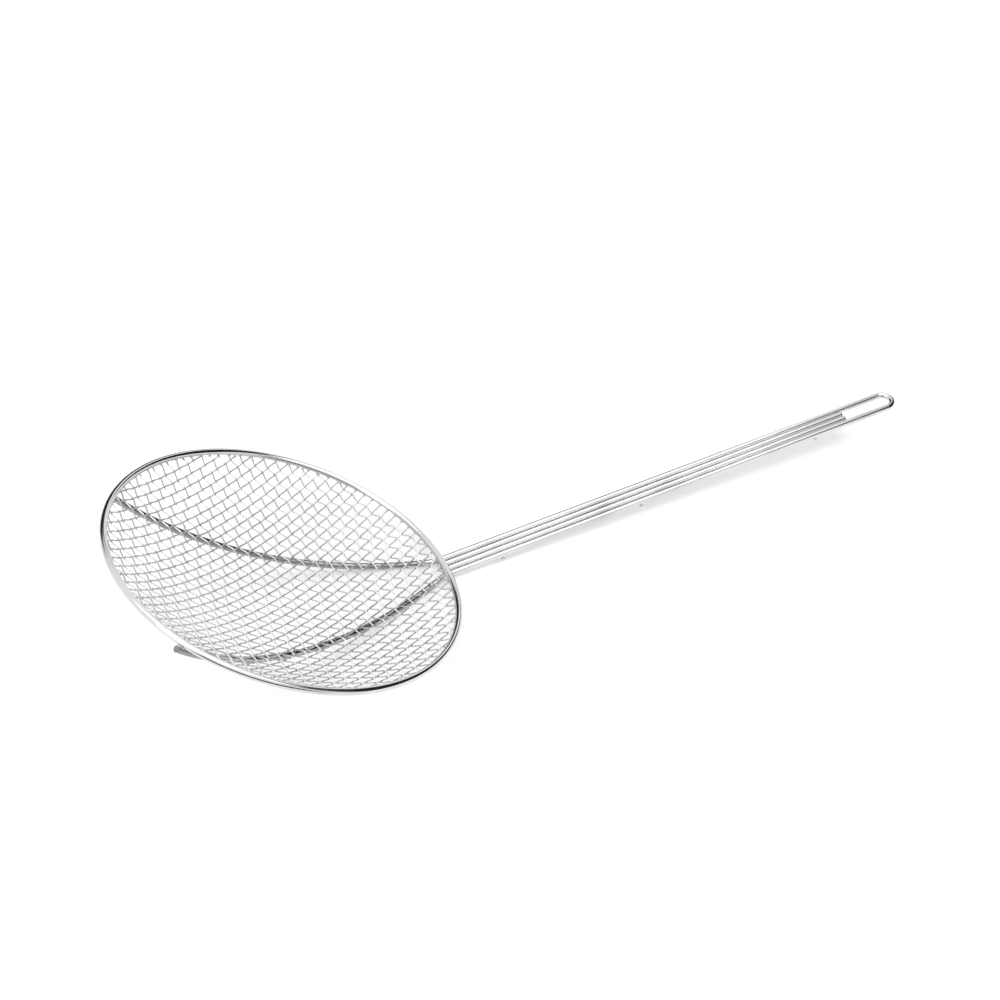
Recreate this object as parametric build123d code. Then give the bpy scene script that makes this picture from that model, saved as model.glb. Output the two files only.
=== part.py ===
from build123d import *
import math
import os

# A fry skimmer of plated steel wire: a dished disc of woven wire mesh inside a round hoop, on a long
# handle of four parallel rods. The two outer rods run on past the hoop, spread into a V and curve along
# under the mesh to the far side of the hoop. At the handle's end a loop joins them, to hang it by. Two
# shorter rods fill the handle between them, and three short wires tie the four rods together from
# below. Everything is welded, so nothing moves.
#
# The bowl is drawn about the hoop's own centre with the handle along +X, then the whole skimmer is
# laid down as it rests on a table: on the support rods and the first cross wire. Lengths are in mm.

# Hoop and bowl
HOOP_OUTER_DIAMETER = 228.0
HOOP_WIRE = 4.5
BOWL_DEPTH = 32.0  # from the middle of the hoop down to the middle of the mesh

# Woven mesh
MESH_WIRE = 1.0
MESH_PITCH = 6.35  # from wire to wire, measured along the dish
MESH_TURN = 30.0  # degrees from the handle to the warp wires
WARP_CRIMP_SHARE = 0.25  # the warp wires' share of the crimp; the weft wires bend more
MESH_EDGE_PITCHES = 0.5  # the least distance, in pitches, from the outermost wires to the hoop

# Handle and support rods
ROD = 4.2
HANDLE_LENGTH = 343.0  # from under the hoop to the outside of the hanging loop
HANDLE_RISE = 26.5  # degrees above the plane of the hoop
ROD_PITCH_AT_HOOP = 4.7
ROD_PITCH_AT_LOOP = 4.35
HANGING_SLOT = 36.0  # open length inside the hanging loop
BEND_TANGENT = 3.0  # from the corner under the hoop to where the bend starts
SUPPORT_FAR_ANGLE = 37.0  # degrees off the handle's line, where a support meets the far side of the hoop
LEFT_SUPPORT_PAST_HOOP = -1.0  # how far the left support runs on past the middle of the hoop's wire
RIGHT_SUPPORT_PAST_HOOP = 2.6

# Cross wires under the handle
CROSS_WIRE = 2.5
CROSS_WIRE_NAMES = ("bowl_end", "middle", "loop_end")
CROSS_WIRE_SHARES = (0.12, 0.415, 0.805)  # of the handle's length, from the hoop

# Pieces that are welded together lie this far apart
WELD_GAP = 0.1

# Searches stop at these steps
CUT_STEP = 1e-6
TILT_STEP = 1e-9
STEEPEST_TILT = 90.0

# Sizes that follow
HOOP_RADIUS = (HOOP_OUTER_DIAMETER - HOOP_WIRE) / 2
WARP_CRIMP = WARP_CRIMP_SHARE * (MESH_WIRE + WELD_GAP)  # how far a warp wire rises and falls
WEFT_CRIMP = MESH_WIRE + WELD_GAP - WARP_CRIMP
MESH_DROP = (HOOP_WIRE - MESH_WIRE) / 2 - WEFT_CRIMP  # the mesh lies level with the hoop's underside
OUTER_ROD_PITCHES = 1.5
INNER_ROD_PITCHES = 0.5

# The hoop's middle line, the mesh and the support rods lie on spheres about one centre
DISH_RISE = BOWL_DEPTH - MESH_DROP
CENTRE_HEIGHT = (HOOP_RADIUS**2 - DISH_RISE**2) / (2 * DISH_RISE)
CENTRE = Vector(0, 0, CENTRE_HEIGHT)
HOOP_SPHERE = math.hypot(HOOP_RADIUS, CENTRE_HEIGHT)
MESH_SPHERE = HOOP_SPHERE + MESH_DROP
SUPPORT_SPHERE = HOOP_SPHERE + HOOP_WIRE / 2 + WELD_GAP + ROD / 2

# The handle's plane starts at the corner under the hoop and rises along HANDLE_AXIS
CORNER_Y = OUTER_ROD_PITCHES * ROD_PITCH_AT_HOOP
CORNER_X = math.sqrt(HOOP_RADIUS**2 - CORNER_Y**2)
CORNER_Z = CENTRE_HEIGHT - math.sqrt(SUPPORT_SPHERE**2 + BEND_TANGENT**2 - HOOP_RADIUS**2)
HANDLE_ORIGIN = Vector(CORNER_X, 0, CORNER_Z)
HANDLE_AXIS = Vector(math.cos(math.radians(HANDLE_RISE)), 0, math.sin(math.radians(HANDLE_RISE)))
HANDLE_NORMAL = Vector(-HANDLE_AXIS.Z, 0, HANDLE_AXIS.X)
LOOP_RADIUS = OUTER_ROD_PITCHES * ROD_PITCH_AT_LOOP
LOOP_CENTRE = HANDLE_LENGTH - LOOP_RADIUS - ROD / 2
INNER_ROD_END = HANDLE_LENGTH - ROD - HANGING_SLOT
CROSS_WIRE_DROP = ROD / 2 + WELD_GAP + CROSS_WIRE / 2


def rod_pitch(along):
    """The distance from rod to rod at a place along the handle."""
    return ROD_PITCH_AT_HOOP + (ROD_PITCH_AT_LOOP - ROD_PITCH_AT_HOOP) * along / LOOP_CENTRE


def handle_point(along, across, above=0):
    """A point given in the handle's plane: along it, across it to the left, and above it."""
    return HANDLE_ORIGIN + HANDLE_AXIS * along + Vector(0, across, 0) + HANDLE_NORMAL * above


def round_bar(edges, diameter):
    """One round wire of a given diameter along joined edges."""
    start = edges[0]
    section = Plane(origin=start @ 0, z_dir=start % 0) * Circle(diameter / 2)
    return sweep(section, path=Wire(edges)).solid()


def mirrored_back(edges, plane):
    """Edges mirrored in a plane and put in the order that leads up to the first of them."""
    return [edge.mirror(plane) for edge in reversed(edges)]


# Hoop


def hoop():
    return Solid.make_torus(HOOP_RADIUS, HOOP_WIRE / 2)


def hoop_point_near(point):
    """The nearest point of the hoop's middle line."""
    return Vector(point.X, point.Y, 0).normalized() * HOOP_RADIUS


# Woven mesh


def joint_of_arcs(start, start_way, end, end_way):
    """Where two arcs meet that lead smoothly from one point and direction to another."""
    chord = end - start
    ways = start_way + end_way
    spread = 2 * (1 - start_way.dot(end_way))
    lead = chord.dot(ways)
    reach = (math.sqrt(lead**2 + spread * chord.dot(chord)) - lead) / spread
    return (start + start_way * reach + end - end_way * reach) / 2


def hoop_clearance(edge, share):
    """How far a mesh wire that ends at a share of an edge stays clear of its seat on the hoop."""
    end = edge @ share
    to_hoop = hoop_point_near(end) - end
    slant = math.sqrt(max(0, 1 - (edge % share).dot(to_hoop.normalized()) ** 2))
    return to_hoop.length - HOOP_WIRE / 2 - WELD_GAP - slant * MESH_WIRE / 2


def cut_at_hoop(edge):
    """The edge up to where the wire meets the hoop."""
    clear, inside = 0.0, 1.0
    while inside - clear > CUT_STEP:
        share = (clear + inside) / 2
        if hoop_clearance(edge, share) > 0:
            clear = share
        else:
            inside = share
    return edge.trim(0, clear)


def mesh_offset(number):
    """How far the plane of a mesh wire stands from the middle of the bowl."""
    return MESH_SPHERE * math.sin(number * MESH_PITCH / MESH_SPHERE)


def half_mesh_wire(number, parity, crimp):
    """Arcs of a mesh wire from its middle to the hoop, over one crossing wire and under the next."""
    offset = mesh_offset(number)
    radius = math.sqrt(MESH_SPHERE**2 - offset**2)
    lift = crimp * MESH_SPHERE / radius
    circle = Vector(0, offset, CENTRE_HEIGHT)

    def crossing(other):
        angle = math.asin(mesh_offset(other) / radius)
        over = (number + other) % 2 == parity
        reach = radius - lift if over else radius + lift
        point = circle + Vector(math.sin(angle), 0, -math.cos(angle)) * reach
        return point, Vector(math.cos(angle), 0, math.sin(angle))

    edges = []
    other = 0
    point, way = crossing(other)
    while True:
        other += 1
        next_point, next_way = crossing(other)
        joint = joint_of_arcs(point, way, next_point, next_way)
        first = Edge.make_tangent_arc(point, way, joint)
        second = Edge.make_tangent_arc(joint, first % 1, next_point)
        for arc in (first, second):
            if hoop_clearance(arc, 1) <= 0:
                edges.append(cut_at_hoop(arc))
                return edges
            edges.append(arc)
        point, way = next_point, next_way


def mesh_wire(number, parity, crimp):
    """One mesh wire, drawn along X at its own distance from the middle of the bowl."""
    half = half_mesh_wire(number, parity, crimp)
    return round_bar(mirrored_back(half, Plane.YZ) + half, MESH_WIRE)


def mesh_wire_count():
    """How many wires fit in the hoop on each side of the middle one."""
    reach = MESH_SPHERE * math.asin((HOOP_RADIUS - HOOP_WIRE / 2) / MESH_SPHERE)
    return int(reach / MESH_PITCH - MESH_EDGE_PITCHES)


def mesh_pair(number, parity, crimp, turn):
    """The mesh wires at equal distances on both sides of the middle, or the middle one alone."""
    numbers = (number, -number) if number else (0,)
    return [mesh_wire(n, parity, crimp).rotate(Axis.Z, turn) for n in numbers]


# Handle and support rods


def support_axes(side):
    """Two directions square to each other in the plane of a support, the first towards its corner."""
    far = math.radians(SUPPORT_FAR_ANGLE)
    corner = Vector(CORNER_X, side * CORNER_Y, CORNER_Z) - CENTRE
    far_end = Vector(-math.cos(far), side * math.sin(far), 0) * HOOP_RADIUS - CENTRE
    first = corner.normalized()
    second = (far_end - first * far_end.dot(first)).normalized()
    return first, second, far_end


def support_arc(side):
    """A support rod's middle line, from its far end beyond the hoop to the bend near the handle."""
    first, second, far_end = support_axes(side)
    start = math.atan(BEND_TANGENT / SUPPORT_SPHERE)
    past_hoop = LEFT_SUPPORT_PAST_HOOP if side > 0 else RIGHT_SUPPORT_PAST_HOOP
    end = math.atan2(far_end.dot(second), far_end.dot(first)) + past_hoop / SUPPORT_SPHERE

    def at(angle):
        return CENTRE + (first * math.cos(angle) + second * math.sin(angle)) * SUPPORT_SPHERE

    return Edge.make_three_point_arc(at(end), at((start + end) / 2), at(start))


def loop_tangent(side):
    """Where a straight leg of the handle runs into the hanging loop."""
    reach = math.hypot(LOOP_CENTRE, CORNER_Y)
    angle = math.atan2(CORNER_Y, -LOOP_CENTRE) - math.acos(LOOP_RADIUS / reach)
    return handle_point(LOOP_CENTRE + LOOP_RADIUS * math.cos(angle), side * LOOP_RADIUS * math.sin(angle))


def leg_point(side, along):
    """A point on the middle line of an outer rod's straight leg, along it from the corner."""
    corner = handle_point(0, side * CORNER_Y)
    return corner + (loop_tangent(side) - corner).normalized() * along


def outer_rod(side):
    """An outer rod of the handle with its support: from beyond the hoop's far side to the hanging loop."""
    support = support_arc(side)
    leg_start = leg_point(side, BEND_TANGENT)
    bend = Edge.make_tangent_arc(support @ 1, support % 1, leg_start)
    leg = Edge.make_line(leg_start, leg_point(side, INNER_ROD_END))
    return round_bar([support, bend, leg], ROD)


def hanging_loop():
    """The loop at the end of the handle, which runs on from the two outer rods."""
    start, end = (leg_point(side, INNER_ROD_END + WELD_GAP) for side in (1, -1))
    top = handle_point(LOOP_CENTRE + LOOP_RADIUS, 0)
    loop = Edge.make_three_point_arc(loop_tangent(1), top, loop_tangent(-1))
    return round_bar([Edge.make_line(start, loop @ 0), loop, Edge.make_line(loop @ 1, end)], ROD)


def inner_rod(side):
    """A short rod of the handle, from under the hoop to the foot of the hanging slot."""
    start = handle_point(0, side * INNER_ROD_PITCHES * rod_pitch(0))
    end = handle_point(INNER_ROD_END, side * INNER_ROD_PITCHES * rod_pitch(INNER_ROD_END))
    return round_bar([Edge.make_line(start, end)], ROD)


def cross_wire(along):
    """A short wire across the underside of the handle, as wide as the handle there."""
    reach = OUTER_ROD_PITCHES * rod_pitch(along) + ROD / 2
    ends = [handle_point(along, side * reach, -CROSS_WIRE_DROP) for side in (1, -1)]
    return round_bar([Edge.make_line(*ends)], CROSS_WIRE)


# Resting place on the table


def lowest_of_supports(up):
    first, second, _ = support_axes(1)
    return CENTRE.dot(up) - SUPPORT_SPHERE * math.hypot(first.dot(up), second.dot(up)) - ROD / 2


def lowest_of_handle(up):
    wires = [handle_point(share * HANDLE_LENGTH, 0, -CROSS_WIRE_DROP) for share in CROSS_WIRE_SHARES]
    wire = min(place.dot(up) for place in wires) - CROSS_WIRE / 2
    return min(wire, handle_point(LOOP_CENTRE + LOOP_RADIUS, 0).dot(up) - ROD / 2)


def up_at(tilt):
    """The upward direction, seen from the bowl, when the hoop is tilted down towards the handle."""
    return Vector(-math.sin(math.radians(tilt)), 0, math.cos(math.radians(tilt)))


def resting_tilt():
    """The tilt of the hoop at which the supports and the handle touch the table together."""
    low, high = 0.0, STEEPEST_TILT
    while high - low > TILT_STEP:
        tilt = (low + high) / 2
        if lowest_of_handle(up_at(tilt)) > lowest_of_supports(up_at(tilt)):
            low = tilt
        else:
            high = tilt
    return low


TILT = resting_tilt()
FORWARD = Vector(math.cos(math.radians(TILT)), 0, math.sin(math.radians(TILT)))
FAR_SIDE = -HOOP_RADIUS * FORWARD.X - HOOP_WIRE / 2
LOOP_SIDE = handle_point(LOOP_CENTRE, 0).dot(FORWARD) + LOOP_RADIUS * HANDLE_AXIS.dot(FORWARD) + ROD / 2
LAID_DOWN = Pos(-(FAR_SIDE + LOOP_SIDE) / 2, 0, -lowest_of_supports(up_at(TILT))) * Rot(0, TILT, 0)


# Pieces

pieces = {
    "hoop": [hoop()],
    "outer_handle_rod_left": [outer_rod(1)],
    "outer_handle_rod_right": [outer_rod(-1)],
    "hanging_loop_rod": [hanging_loop()],
    "inner_handle_rod_left": [inner_rod(1)],
    "inner_handle_rod_right": [inner_rod(-1)],
}
for name, share in zip(CROSS_WIRE_NAMES, CROSS_WIRE_SHARES):
    pieces[f"cross_wire_{name}"] = [cross_wire(share * HANDLE_LENGTH)]
for number in range(mesh_wire_count() + 1):
    pieces[f"warp_wires_{number:02d}"] = mesh_pair(number, 0, WARP_CRIMP, MESH_TURN)
    pieces[f"weft_wires_{number:02d}"] = mesh_pair(number, 1, WEFT_CRIMP, MESH_TURN + 90)

os.makedirs("parts", exist_ok=True)
for name, solids in pieces.items():
    placed = [LAID_DOWN * solid for solid in solids]
    export_step(placed[0] if len(placed) == 1 else Compound(children=placed), f"parts/{name}.step")
print(f"{len(pieces)} nodes, hoop tilted {TILT:.2f} degrees")
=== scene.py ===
"""A dished skimmer of woven, plated steel wire, dressed for a plain studio picture.

Each operator makes one group of pieces from the sizes of the skimmer's own wires and rods. The bowl's
pieces are worked out about the middle of the hoop and laid down with the tilt that the frame gives.
"""

import math

import bpy
import numpy as np
from mathutils import Matrix, Vector


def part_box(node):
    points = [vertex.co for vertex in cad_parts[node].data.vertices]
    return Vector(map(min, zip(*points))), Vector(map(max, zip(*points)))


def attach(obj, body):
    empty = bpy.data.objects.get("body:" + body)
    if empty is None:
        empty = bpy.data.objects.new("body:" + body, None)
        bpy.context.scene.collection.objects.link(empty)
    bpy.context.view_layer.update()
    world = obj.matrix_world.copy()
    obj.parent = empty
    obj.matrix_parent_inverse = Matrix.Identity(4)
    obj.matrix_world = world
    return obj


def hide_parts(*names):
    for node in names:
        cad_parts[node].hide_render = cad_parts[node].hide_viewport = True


bl_info = {
    "name": "Wire skimmer",
    "version": (1, 0, 0),
    "blender": (4, 5, 0),
    "location": "3D View > Sidebar > Skimmer",
    "description": "Builds a woven wire skimmer and a plain studio stage round it",
    "category": "Add Mesh",
}

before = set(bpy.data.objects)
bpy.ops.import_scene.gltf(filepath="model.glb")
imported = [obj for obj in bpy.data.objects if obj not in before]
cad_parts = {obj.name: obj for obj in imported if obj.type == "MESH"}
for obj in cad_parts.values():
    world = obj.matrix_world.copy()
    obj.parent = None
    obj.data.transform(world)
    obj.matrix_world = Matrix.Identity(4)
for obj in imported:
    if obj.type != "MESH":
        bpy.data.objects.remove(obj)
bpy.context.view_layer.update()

MM = 0.001
ALONG_MAP = "along_wire"  # the map whose first value is the run along a wire, in metres

# Places on the skimmer, in shares and in distances between rods or wires
CROSS_WIRE_SHARES = (0.12, 0.415, 0.805)  # of the handle's length, from the hoop
CROSS_WIRE_NAMES = ("bowl_end", "middle", "loop_end")
OUTER_ROD_PITCHES = 1.5
INNER_ROD_PITCHES = 0.5
ROD_PLACES = (-OUTER_ROD_PITCHES, -INNER_ROD_PITCHES, INNER_ROD_PITCHES, OUTER_ROD_PITCHES)
WARP_CRIMP_SHARE = 0.25  # the warp wires' share of the crimp; the weft wires bend more
MESH_EDGE_PITCHES = 0.5  # the least distance, in pitches, from the outermost mesh wires to the hoop
CHAMFER_SHARE = 0.18  # of a wire's radius, broken off the edges of its cut ends

# How finely the pieces are drawn
HOOP_STEPS = 360
HOOP_SIDES = 32
ROD_SIDES = 28
SUPPORT_STEPS = 96
BEND_STEPS = 10
LEG_STEPS = 48
LOOP_STEPS = 40
INNER_ROD_STEPS = 40
CROSS_WIRE_STEPS = 12
CROSS_WIRE_SIDES = 24
MESH_STEPS = 10  # from one crossing to the next
MESH_SIDES = 12
BEAD_DETAIL = (8, 14)  # rings and sides of a lump of weld metal
SMALL_BEAD_DETAIL = (6, 10)
SUPPORT_SEARCH_STEPS = 600

# Weld metal: its half length, half width and half height, as shares of a wire's diameter
HOOP_WELD_SHARES = (0.52, 0.40, 0.22)  # of the rod
HANDLE_WELD_SHARES = (0.62, 0.30, 0.24)  # of the cross wire, the rod and the cross wire
MESH_END_WELD_SHARES = (0.95, 0.80, 0.50)  # of the mesh wire
SPOT_WELD_SHARES = (0.85, 0.70, 0.30)  # of the mesh wire
SPOT_WELD_GAPS = 3  # a mesh wire is welded to a support where it comes within this many weld gaps
BEAD_UNEVENNESS = (0.07, 0.05)  # of two waves and three waves round it

# The first seed of each kind of weld
HOOP_WELD_SEED = 0
HANDLE_WELD_SEED = 20
MESH_END_WELD_SEED = 100
SPOT_WELD_SEED = 500

# Grain of each finish: streaks per metre, streaks around the wire, patches per metre and relief
HOOP_GRAIN = (45.0, 16.0, 26.0, 0.25)
ROD_GRAIN = (45.0, 14.0, 34.0, 0.25)
MESH_GRAIN = (160.0, 6.0, 60.0, 0.2)
WELD_GRAIN = (10.0, 4.0, 900.0, 0.6)
STREAK_DEPTH = 0.02 * MM
STREAK_DETAIL = 4.0
PATCH_DETAIL = 3.0
STREAK_WEIGHT = 0.35  # of the streaks against the patches
WORN_RANGE = (0.45, 0.95)  # of both together, from smooth to rough plating
DULL_RANGE = (0.60, 1.05)  # and from the bright to the dull colour
ROUGH_TIMES = 2.2  # how much rougher the plating is where it is worn
# Painted shade where the mesh wires cross
MARK_RANGE = (0.55, 1.0)  # of a wave that peaks at each crossing, from no mark to a full one
MARK_SPREAD = 0.8  # how unevenly the crossings are marked
MARK_LEAST = 0.6
MARK_PATCHES_PER_METRE = 120.0
SUPPORT_FADE = 12.0 * MM  # over which the painted shade on the supports gives way to the handle's bright plating

# The stage, in metres and degrees
FLOOR_REACH = 6.0
LAMPS = (  # name, place, size and share of the lamps' strength
    ("top_lamp", (0.0, 0.05, 1.7), (1.7, 1.2), 1.0),
    ("side_lamp", (-1.5, -0.5, 1.0), (0.8, 0.8), 0.7),
)
DARK_CARDS = (  # name, direction of the middle, width, and heights of the lower and upper edge
    ("back_card", 92.0, 60.0, (3.0, 36.0)),
    ("front_card", -118.0, 76.0, (4.0, 30.0)),
    ("loop_card", -10.0, 90.0, (4.0, 56.0)),
)
CARD_COLOUR = (0.03, 0.03, 0.03, 1.0)
CARD_DISTANCE = 2.2
CARD_COLUMNS = 12
CARD_ROWS = 6
CAMERA_PLACE = (-0.3571, -0.7554, 0.8474)
CAMERA_VIEW = (0.28814, 0.65689, -0.69676)
CAMERA_UP = (0.30617, 0.62623, 0.71701)
CAMERA_LENS = 65.33  # millimetres, like the sensor's width
CAMERA_SENSOR = 36.0
NEAREST_SEEN = 0.01


def length(name, description, millimetres):
    return bpy.props.FloatProperty(
        name=name,
        description=description,
        default=millimetres * MM,
        unit="LENGTH",
        subtype="DISTANCE",
        precision=5,
    )


def angle(name, description, degrees):
    radians = math.radians(degrees)
    return bpy.props.FloatProperty(name=name, description=description, default=radians, subtype="ANGLE")


def colour(name, description, value):
    return bpy.props.FloatVectorProperty(
        name=name, description=description, default=value, subtype="COLOR", size=4, min=0.0, max=1.0
    )


def factor(name, description, value, highest=1.0):
    return bpy.props.FloatProperty(name=name, description=description, default=value, min=0.0, max=highest)


class SkimmerSizes(bpy.types.PropertyGroup):
    hoop_diameter: length("Hoop", "Outer diameter of the hoop", 228.0)
    hoop_wire: length("Hoop wire", "Diameter of the hoop's wire", 4.5)
    bowl_depth: length("Bowl depth", "From the middle of the hoop down to the middle of the mesh", 32.0)
    mesh_wire: length("Mesh wire", "Diameter of a mesh wire", 1.0)
    mesh_pitch: length("Mesh pitch", "From mesh wire to mesh wire, along the dish", 6.35)
    mesh_turn: angle("Mesh turn", "Turn of the warp wires from the handle", 30.0)
    rod: length("Rod", "Diameter of a handle rod", 4.2)
    handle_length: length("Handle", "From under the hoop to the outside of the loop", 343.0)
    handle_rise: angle("Handle rise", "Rise of the handle above the hoop's plane", 26.5)
    rod_pitch_at_hoop: length("Rod pitch at hoop", "From rod to rod at the hoop", 4.7)
    rod_pitch_at_loop: length("Rod pitch at loop", "From rod to rod at the hanging loop", 4.35)
    hanging_slot: length("Hanging slot", "Open length inside the loop", 36.0)
    bend_tangent: length("Bend tangent", "From the corner under the hoop to the start of the bend", 3.0)
    support_far_angle: angle("Support angle", "Where a support meets the hoop's far side", 37.0)
    left_support_past_hoop: length("Left support end", "How far it runs past the hoop's middle", -1.0)
    right_support_past_hoop: length("Right support end", "How far it runs past the hoop's middle", 2.6)
    cross_wire: length("Cross wire", "Diameter of a cross wire", 2.5)
    weld_gap: length("Weld gap", "Gap between pieces that are welded", 0.1)


class SkimmerFinish(bpy.types.PropertyGroup):
    plating: colour("Plating", "Colour of the bright plating", (0.74, 0.74, 0.73, 1.0))
    worn_plating: colour("Worn plating", "Colour of the duller patches", (0.56, 0.56, 0.55, 1.0))
    # Painted shade where the mesh wires cross
    crossing_shade_colour: colour("Crossing shade colour", "Colour of the marks at crossings", (0.16, 0.16, 0.155, 1.0))
    # Painted shade on the supports where they lie under the mesh
    support_shade_colour: colour("Support shade colour", "Colour of the rods under the mesh", (0.30, 0.30, 0.295, 1.0))
    crossing_shade_strength: factor("Painted shade at crossings", "How much the crossings of the mesh are marked", 0.35)
    rod_roughness: factor("Rod roughness", "Roughness of the hoop and the rods", 0.09)
    mesh_roughness: factor("Mesh roughness", "Roughness of the mesh wires", 0.26)
    weld_roughness: factor("Weld roughness", "Roughness of the weld metal", 0.30)


class SkimmerStage(bpy.types.PropertyGroup):
    floor: colour("Floor", "Colour of the floor", (0.86, 0.86, 0.86, 1.0))
    floor_lift: factor("Floor lift", "Light added to the floor as the camera sees it", 0.38)
    lamp_strength: factor("Lamps", "Radiance of the soft lamps", 1.8, 20.0)
    room_strength: factor("Room", "Light of the room on the object", 0.55, 20.0)


# Lines of the wires and rods, drawn about the middle of the hoop with the handle along +X


class Layout:
    """Places and radii that follow from the sizes, in the bowl's frame, and where that frame lies."""

    def __init__(self, sizes):
        s = self.sizes = sizes
        self.hoop_radius = (s.hoop_diameter - s.hoop_wire) / 2
        warp_crimp = WARP_CRIMP_SHARE * (s.mesh_wire + s.weld_gap)
        self.crimps = (warp_crimp, s.mesh_wire + s.weld_gap - warp_crimp)
        drop = (s.hoop_wire - s.mesh_wire) / 2 - self.crimps[1]
        rise = s.bowl_depth - drop
        self.centre_height = (self.hoop_radius**2 - rise**2) / (2 * rise)
        self.centre = np.array((0.0, 0.0, self.centre_height))
        hoop_sphere = math.hypot(self.hoop_radius, self.centre_height)
        self.mesh_sphere = hoop_sphere + drop
        self.support_sphere = hoop_sphere + s.hoop_wire / 2 + s.weld_gap + s.rod / 2
        self.corner_y = OUTER_ROD_PITCHES * s.rod_pitch_at_hoop
        corner_x = math.sqrt(self.hoop_radius**2 - self.corner_y**2)
        corner_drop = math.sqrt(self.support_sphere**2 + s.bend_tangent**2 - self.hoop_radius**2)
        self.handle_origin = np.array((corner_x, 0.0, self.centre_height - corner_drop))
        self.handle_axis = np.array((math.cos(s.handle_rise), 0.0, math.sin(s.handle_rise)))
        self.handle_normal = np.array((-self.handle_axis[2], 0.0, self.handle_axis[0]))
        self.loop_radius = OUTER_ROD_PITCHES * s.rod_pitch_at_loop
        self.loop_centre = s.handle_length - self.loop_radius - s.rod / 2
        self.inner_rod_end = s.handle_length - s.rod - s.hanging_slot
        self.cross_wire_drop = s.rod / 2 + s.weld_gap + s.cross_wire / 2
        low, high = (np.array(corner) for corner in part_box("hoop"))
        span = high - low - s.hoop_wire
        tilt = math.atan2(span[2], span[0])
        self.lay_down = np.array(Matrix.Rotation(tilt, 3, "Y"))
        self.hoop_centre = (low + high) / 2

    def placed(self, points):
        """Points of the bowl's frame, as they lie on the table."""
        return np.asarray(points) @ self.lay_down.T + self.hoop_centre

    def turned(self, vector):
        """A direction of the bowl's frame, as it lies on the table."""
        return self.lay_down @ np.asarray(vector)

    def rod_pitch(self, along):
        """From rod to rod, at a distance along the handle."""
        s = self.sizes
        return s.rod_pitch_at_hoop + (s.rod_pitch_at_loop - s.rod_pitch_at_hoop) * along / self.loop_centre

    def handle_point(self, along, across, above=0.0):
        """A point along the handle, to the side of its middle and above the plane of its rods."""
        across_way = np.array((0.0, across, 0.0))
        return self.handle_origin + self.handle_axis * along + across_way + self.handle_normal * above

    def mesh_offset(self, number):
        """How far the plane of a mesh wire stands from the middle of the bowl."""
        return self.mesh_sphere * math.sin(number * self.sizes.mesh_pitch / self.mesh_sphere)

    def mesh_wire_count(self):
        """How many mesh wires lie on each side of the middle one."""
        s = self.sizes
        reach = self.mesh_sphere * math.asin((self.hoop_radius - s.hoop_wire / 2) / self.mesh_sphere)
        return int(reach / s.mesh_pitch - MESH_EDGE_PITCHES)

    def mesh_families(self):
        """The warp and the weft: their name, which crossings they pass over, and their turn."""
        turn = self.sizes.mesh_turn
        return (("warp", 0, turn), ("weft", 1, turn + math.pi / 2))

    def crossing_angles(self, offset, radius):
        """The angles at which a mesh wire meets the others, from its middle to the first past the hoop."""
        angles = [0.0]
        while math.hypot(self.mesh_offset(len(angles) - 1), offset) <= self.hoop_radius:
            angles.append(math.asin(self.mesh_offset(len(angles)) / radius))
        return angles

    def clear_of_hoop(self, points):
        """How far a mesh wire would stay clear of its seat on the hoop if it ended at each point."""
        s = self.sizes
        ways = np.gradient(points, axis=0)
        ways /= np.linalg.norm(ways, axis=1)[:, None]
        flat = np.hypot(points[:, 0], points[:, 1])
        to_hoop = np.column_stack((points[:, :2] * (self.hoop_radius / flat - 1)[:, None], -points[:, 2]))
        far = np.linalg.norm(to_hoop, axis=1)
        slant = np.sqrt(np.clip(1 - (np.sum(ways * to_hoop, axis=1) / far) ** 2, 0, 1))
        return far - s.hoop_wire / 2 - s.weld_gap - slant * s.mesh_wire / 2

    def mesh_line(self, number, parity):
        """The middle line of a mesh wire along X, and its run, in which crossings are a pitch apart."""
        offset = self.mesh_offset(number)
        radius = math.sqrt(self.mesh_sphere**2 - offset**2)
        lift = self.crimps[parity] * self.mesh_sphere / radius
        sign = 1.0 if number % 2 == parity else -1.0
        crossings = self.crossing_angles(offset, radius)
        along = np.linspace(0.0, len(crossings) - 1.0, (len(crossings) - 1) * MESH_STEPS + 1)
        angles = np.interp(along, np.arange(len(crossings)), crossings)
        reach = radius - sign * lift * np.cos(np.pi * along)
        heights = self.centre_height - reach * np.cos(angles)
        points = np.column_stack((reach * np.sin(angles), np.full(len(along), offset), heights))
        clear = self.clear_of_hoop(points)
        last = int(np.argmax(clear <= 0))
        share = clear[last - 1] / (clear[last - 1] - clear[last])
        end = points[last - 1] + (points[last] - points[last - 1]) * share
        end_along = along[last - 1] + (along[last] - along[last - 1]) * share
        half = np.vstack((points[:last], end))
        run = np.append(along[:last], end_along) * self.sizes.mesh_pitch
        return np.vstack((half[:0:-1] * (-1, 1, 1), half)), np.append(-run[:0:-1], run)

    def support_line(self, side, count):
        """A support's middle line, from its far end to the bend under the hoop."""
        s = self.sizes
        far = s.support_far_angle
        corner = self.handle_point(0, side * self.corner_y) - self.centre
        far_end = np.array((-math.cos(far), side * math.sin(far), 0.0)) * self.hoop_radius - self.centre
        first = corner / np.linalg.norm(corner)
        second = far_end - first * (far_end @ first)
        second /= np.linalg.norm(second)
        start = math.atan(s.bend_tangent / self.support_sphere)
        past_hoop = s.left_support_past_hoop if side > 0 else s.right_support_past_hoop
        end = math.atan2(far_end @ second, far_end @ first) + past_hoop / self.support_sphere
        turns = np.linspace(end, start, count)[:, None]
        return self.centre + (first * np.cos(turns) + second * np.sin(turns)) * self.support_sphere

    def loop_tangent(self, side):
        """Where a straight leg of the handle runs into the hanging loop, and its turn there."""
        reach = math.hypot(self.loop_centre, self.corner_y)
        turn = math.atan2(self.corner_y, -self.loop_centre) - math.acos(self.loop_radius / reach)
        along = self.loop_centre + self.loop_radius * math.cos(turn)
        return self.handle_point(along, side * self.loop_radius * math.sin(turn)), turn

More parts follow.
